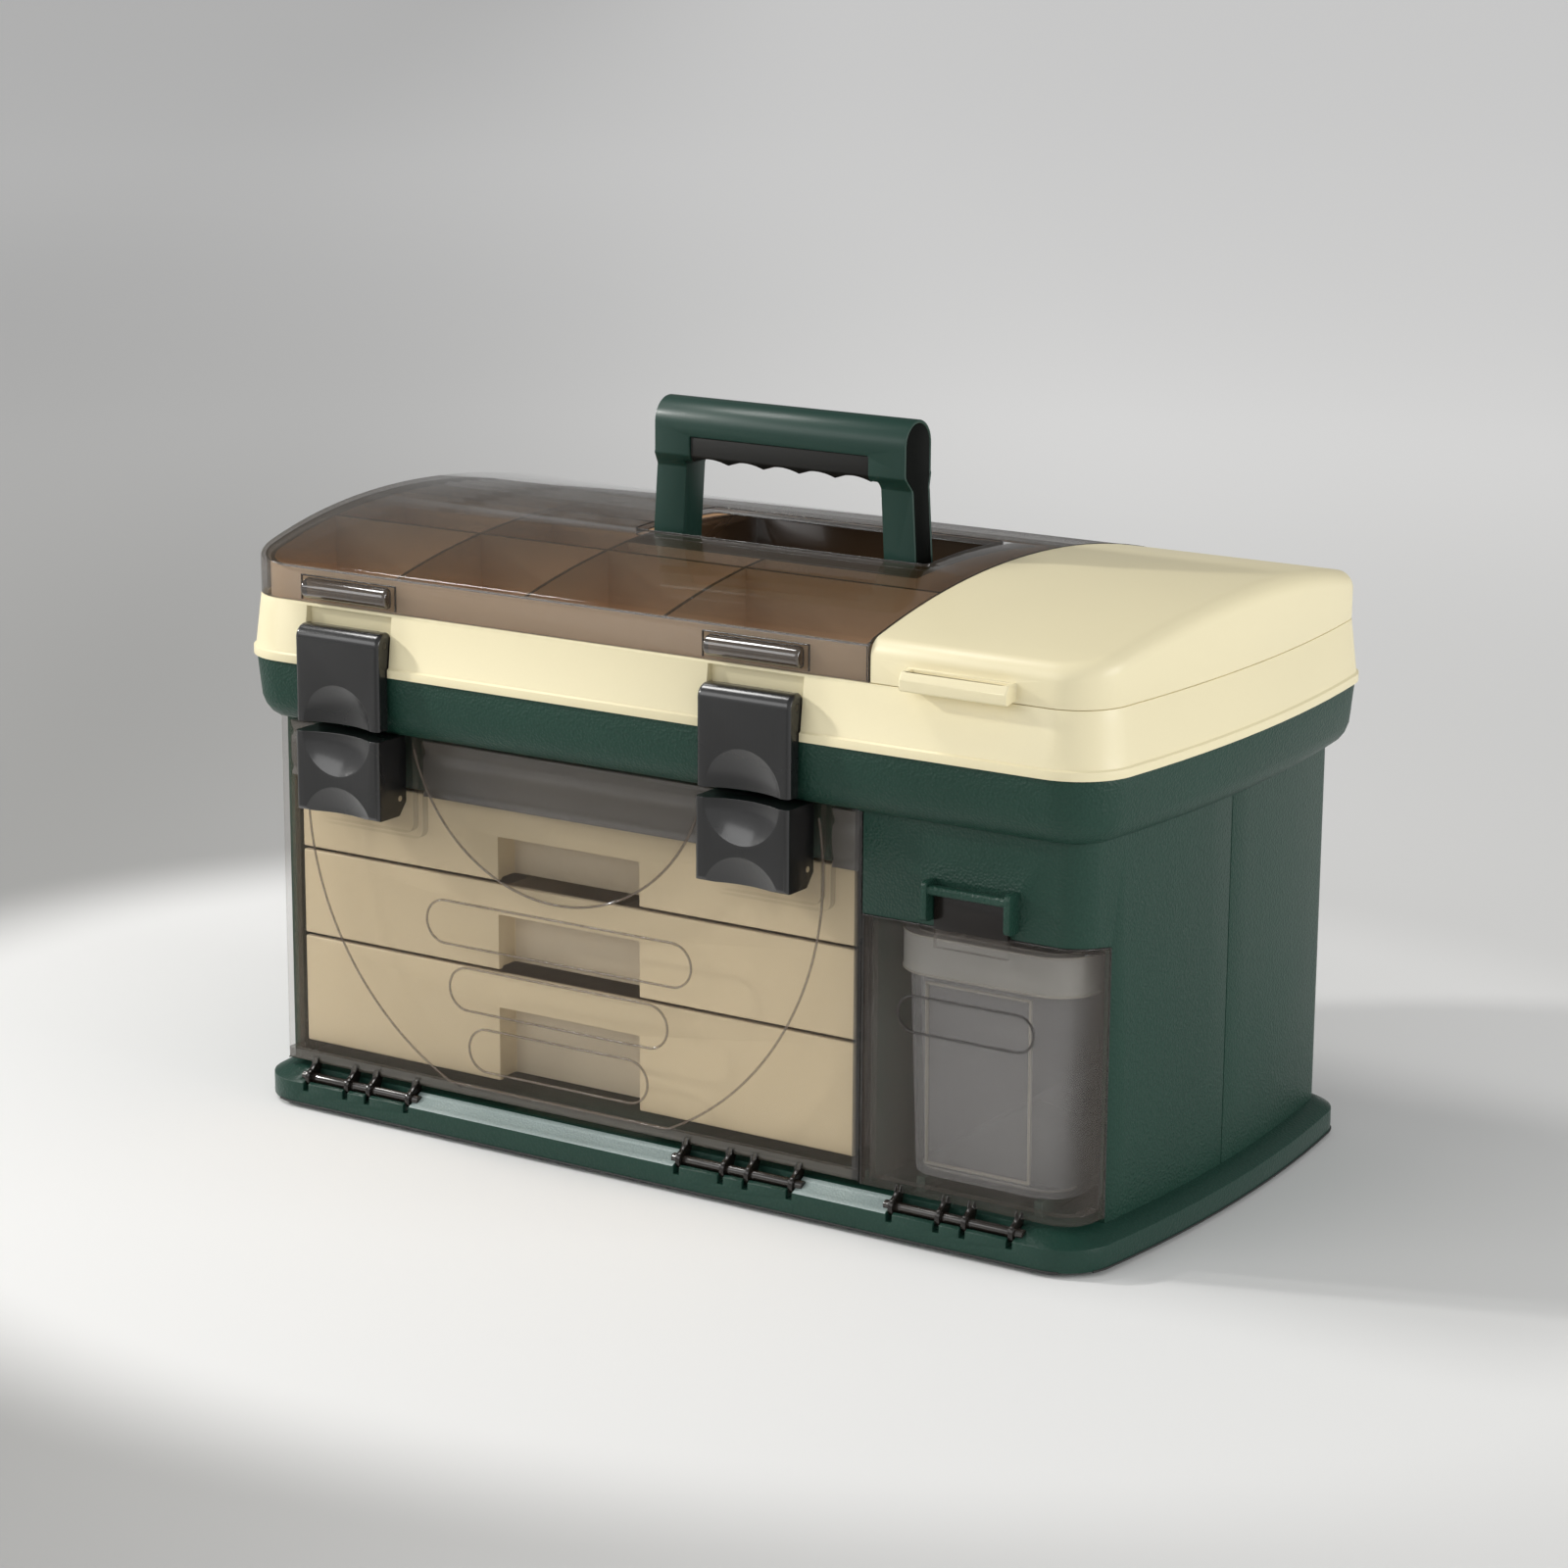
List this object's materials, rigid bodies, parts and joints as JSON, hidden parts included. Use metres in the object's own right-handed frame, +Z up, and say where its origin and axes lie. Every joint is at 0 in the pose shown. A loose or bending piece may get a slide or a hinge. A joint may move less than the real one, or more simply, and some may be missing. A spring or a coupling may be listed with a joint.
{
  "type": "fishing tackle cabinet",
  "caption": "Fishing tackle cabinet with a latched lid, clear arched cover over a divided tray, folding handle, drawers behind a clear drop door and a bin behind a side door.",
  "frame": {"origin": "under the middle of the cabinet's bounding box, on the surface it stands on", "axes": "+X to the cabinet's right as seen from its front, +Y from its front to its back, +Z up"},
  "size_m": [0.46, 0.2704, 0.3295],
  "materials": {
    "green": "fine grain",
    "cream": "satin",
    "tan": "satin",
    "smoke": "glossy smoke tint",
    "grey_clear": "frosted",
    "black": "semi-gloss",
    "pin_black": "semi-gloss",
    "grip_rubber": "matt",
    "foot_rubber": "matt"
  },
  "bodies": {
    "case": {"base_pan": "green", "case_body": "green", "bulk_deck": "green", "bay_partition": "green", "feet": "foot_rubber", "drawer_runners_left": "green", "drawer_runners_right": "green", "front_door_hinge_rods": "pin_black", "side_door_hinge_rod": "pin_black", "lid_hinge_pins": "pin_black"},
    "lid": {"lid_shell": "cream", "top_tray": "tan", "cover_hinge_pins": "pin_black", "side_cover_hinge_pin": "pin_black", "handle_pins": "green", "upper_latch_pin_left": "pin_black", "upper_latch_pin_right": "pin_black"},
    "top_cover": {"smoke_cover": "smoke"},
    "side_cover": {"side_cover": "cream"},
    "handle": {"handle_frame": "green", "handle_side_inserts": "black", "grip_insert": "grip_rubber"},
    "upper_latch_left": {"upper_latch_left": "black"},
    "upper_latch_right": {"upper_latch_right": "black"},
    "front_door": {"front_door": "smoke", "lower_latch_pin_left": "pin_black", "lower_latch_pin_right": "pin_black"},
    "lower_latch_left": {"lower_latch_left": "black"},
    "lower_latch_right": {"lower_latch_right": "black"},
    "side_door": {"side_door": "smoke"},
    "drawer_top": {"drawer_top": "tan", "dividers_top": "tan"},
    "drawer_middle": {"drawer_middle": "tan", "dividers_middle": "tan"},
    "drawer_bottom": {"drawer_bottom": "tan"},
    "lure_bin": {"lure_bin": "grey_clear"}
  },
  "joints": [
    {"name": "lid_hinge", "type": "hinge", "parent": "case", "child": "lid", "pos_m": [0, 0.1312, 0.2099], "axis": [-1, 0, 0], "range_deg": [0, 95]},
    {"name": "top_cover_hinge", "type": "hinge", "parent": "lid", "child": "top_cover", "pos_m": [0, 0.1263, 0.2387], "axis": [-1, 0, 0], "range_deg": [0, 85]},
    {"name": "side_cover_hinge", "type": "hinge", "parent": "lid", "child": "side_cover", "pos_m": [0, 0.1263, 0.2387], "axis": [-1, 0, 0], "range_deg": [0, 85]},
    {"name": "handle_pivot", "type": "hinge", "parent": "lid", "child": "handle", "pos_m": [0, -0.0232, 0.2495], "axis": [-1, 0, 0], "range_deg": [0, 90]},
    {"name": "upper_latch_left_pivot", "type": "hinge", "parent": "lid", "child": "upper_latch_left", "pos_m": [0, -0.1287, 0.2245], "axis": [-1, 0, 0], "range_deg": [0, 92]},
    {"name": "upper_latch_right_pivot", "type": "hinge", "parent": "lid", "child": "upper_latch_right", "pos_m": [0, -0.1287, 0.2245], "axis": [-1, 0, 0], "range_deg": [0, 92]},
    {"name": "front_door_hinge", "type": "hinge", "parent": "case", "child": "front_door", "pos_m": [0, -0.1187, 0.0145], "axis": [1, 0, 0], "range_deg": [0, 80]},
    {"name": "lower_latch_left_pivot", "type": "hinge", "parent": "front_door", "child": "lower_latch_left", "pos_m": [0, -0.1197, 0.154], "axis": [1, 0, 0], "range_deg": [0, 85]},
    {"name": "lower_latch_right_pivot", "type": "hinge", "parent": "front_door", "child": "lower_latch_right", "pos_m": [0, -0.1197, 0.154], "axis": [1, 0, 0], "range_deg": [0, 85]},
    {"name": "side_door_hinge", "type": "hinge", "parent": "case", "child": "side_door", "pos_m": [0, -0.1187, 0.0145], "axis": [1, 0, 0], "range_deg": [0, 88]},
    {"name": "drawer_top_slide", "type": "slide", "parent": "case", "child": "drawer_top", "axis": [0, -1, 0], "range_m": [0, 0.1634]},
    {"name": "drawer_middle_slide", "type": "slide", "parent": "case", "child": "drawer_middle", "axis": [0, -1, 0], "range_m": [0, 0.1076]},
    {"name": "drawer_bottom_slide", "type": "slide", "parent": "case", "child": "drawer_bottom", "axis": [0, -1, 0], "range_m": [0, 0.0217]},
    {"name": "lure_bin_slide", "type": "slide", "parent": "case", "child": "lure_bin", "axis": [0, -1, 0], "range_m": [0, 0.0212]}
  ],
  "couplings": [
    {"joint": "handle_pivot", "follows": "top_cover_hinge", "ratio": 1.05},
    {"joint": "drawer_top_slide", "follows": "front_door_hinge", "m_per_rad": 0.117},
    {"joint": "drawer_middle_slide", "follows": "front_door_hinge", "m_per_rad": 0.077},
    {"joint": "drawer_bottom_slide", "follows": "front_door_hinge", "m_per_rad": 0.0155},
    {"joint": "lure_bin_slide", "follows": "side_door_hinge", "m_per_rad": 0.0138}
  ]
}
